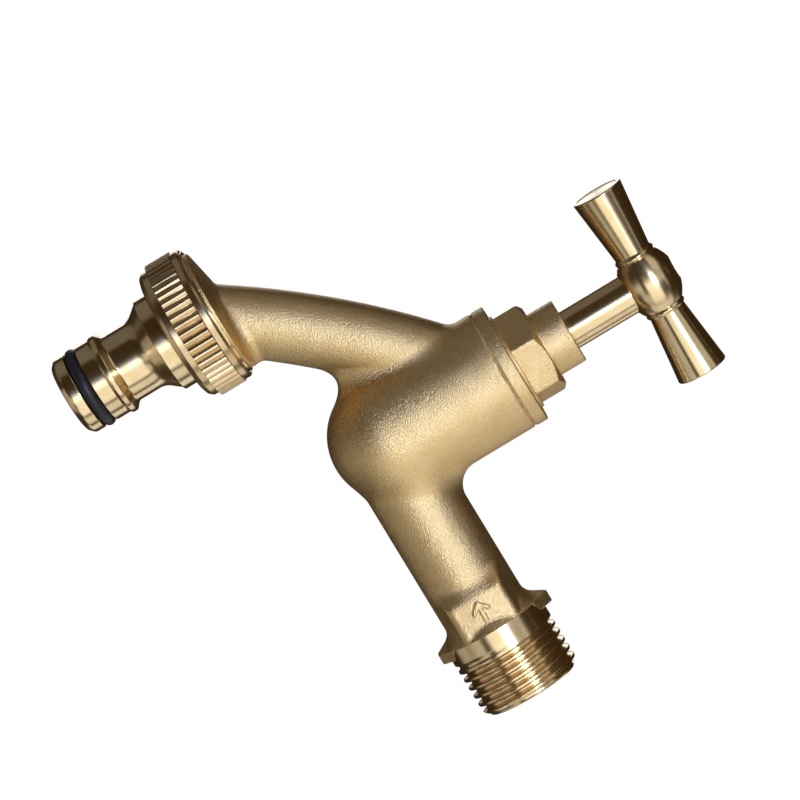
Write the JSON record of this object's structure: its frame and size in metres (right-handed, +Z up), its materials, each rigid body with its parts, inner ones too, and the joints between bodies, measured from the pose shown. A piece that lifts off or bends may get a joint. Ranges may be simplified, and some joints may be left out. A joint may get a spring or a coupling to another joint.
{
  "type": "hose bib",
  "caption": "Brass angle bib tap: male wall thread, round valve chamber, rising spindle with T-bar handle, downward spout with knurled union nut and click-fit hose nipple.",
  "frame": {"origin": "on the inlet axis, half-way along the G1/2 thread", "axes": "+X along the inlet thread out of its free end, towards the wall; +Z up along the spindle; the spout and hose nipple point down -Z"},
  "size_m": [0.1085, 0.0288, 0.1124],
  "materials": {
    "cast_brass": "sand-blasted, fine grain",
    "turned_brass": "turned, bright",
    "bar_brass": "turned, bright",
    "nut_brass": "turned and knurled",
    "black_rubber": "matt",
    "fibre": "matt sealing fibre"
  },
  "bodies": {
    "body": {"tap_body": "cast_brass", "seat_ring": "turned_brass", "bonnet": "cast_brass", "bonnet_gasket": "fibre", "stem_ring_lower": "black_rubber", "stem_ring_upper": "black_rubber"},
    "valve": {"jumper": "turned_brass", "seat_washer": "black_rubber", "washer_nut": "turned_brass"},
    "handle": {"spindle": "turned_brass", "handle_bar": "bar_brass"},
    "tail": {"hose_nipple": "turned_brass", "nipple_o_ring": "black_rubber", "outlet_gasket": "black_rubber"},
    "nut": {"union_nut": "nut_brass"}
  },
  "joints": [
    {"name": "valve_lift", "type": "slide", "parent": "body", "child": "valve", "axis": [0, 0, 1], "range_m": [0, 0.005]},
    {"name": "handle_turn", "type": "hinge", "parent": "valve", "child": "handle", "pos_m": [-0.0495, 0, 0], "axis": [0, 0, 1], "range_deg": [0, 900]},
    {"name": "union_travel", "type": "slide", "parent": "body", "child": "tail", "axis": [0, 0, -1], "range_m": [0, 0.00363]},
    {"name": "union_nut_turn", "type": "hinge", "parent": "tail", "child": "nut", "pos_m": [-0.0876, 0, 0], "axis": [0, 0, -1], "range_deg": [0, 720]}
  ],
  "couplings": [
    {"joint": "valve_lift", "follows": "handle_turn", "m_per_rad": 0.00031831},
    {"joint": "union_nut_turn", "follows": "union_travel", "rad_per_m": 3463.7}
  ]
}
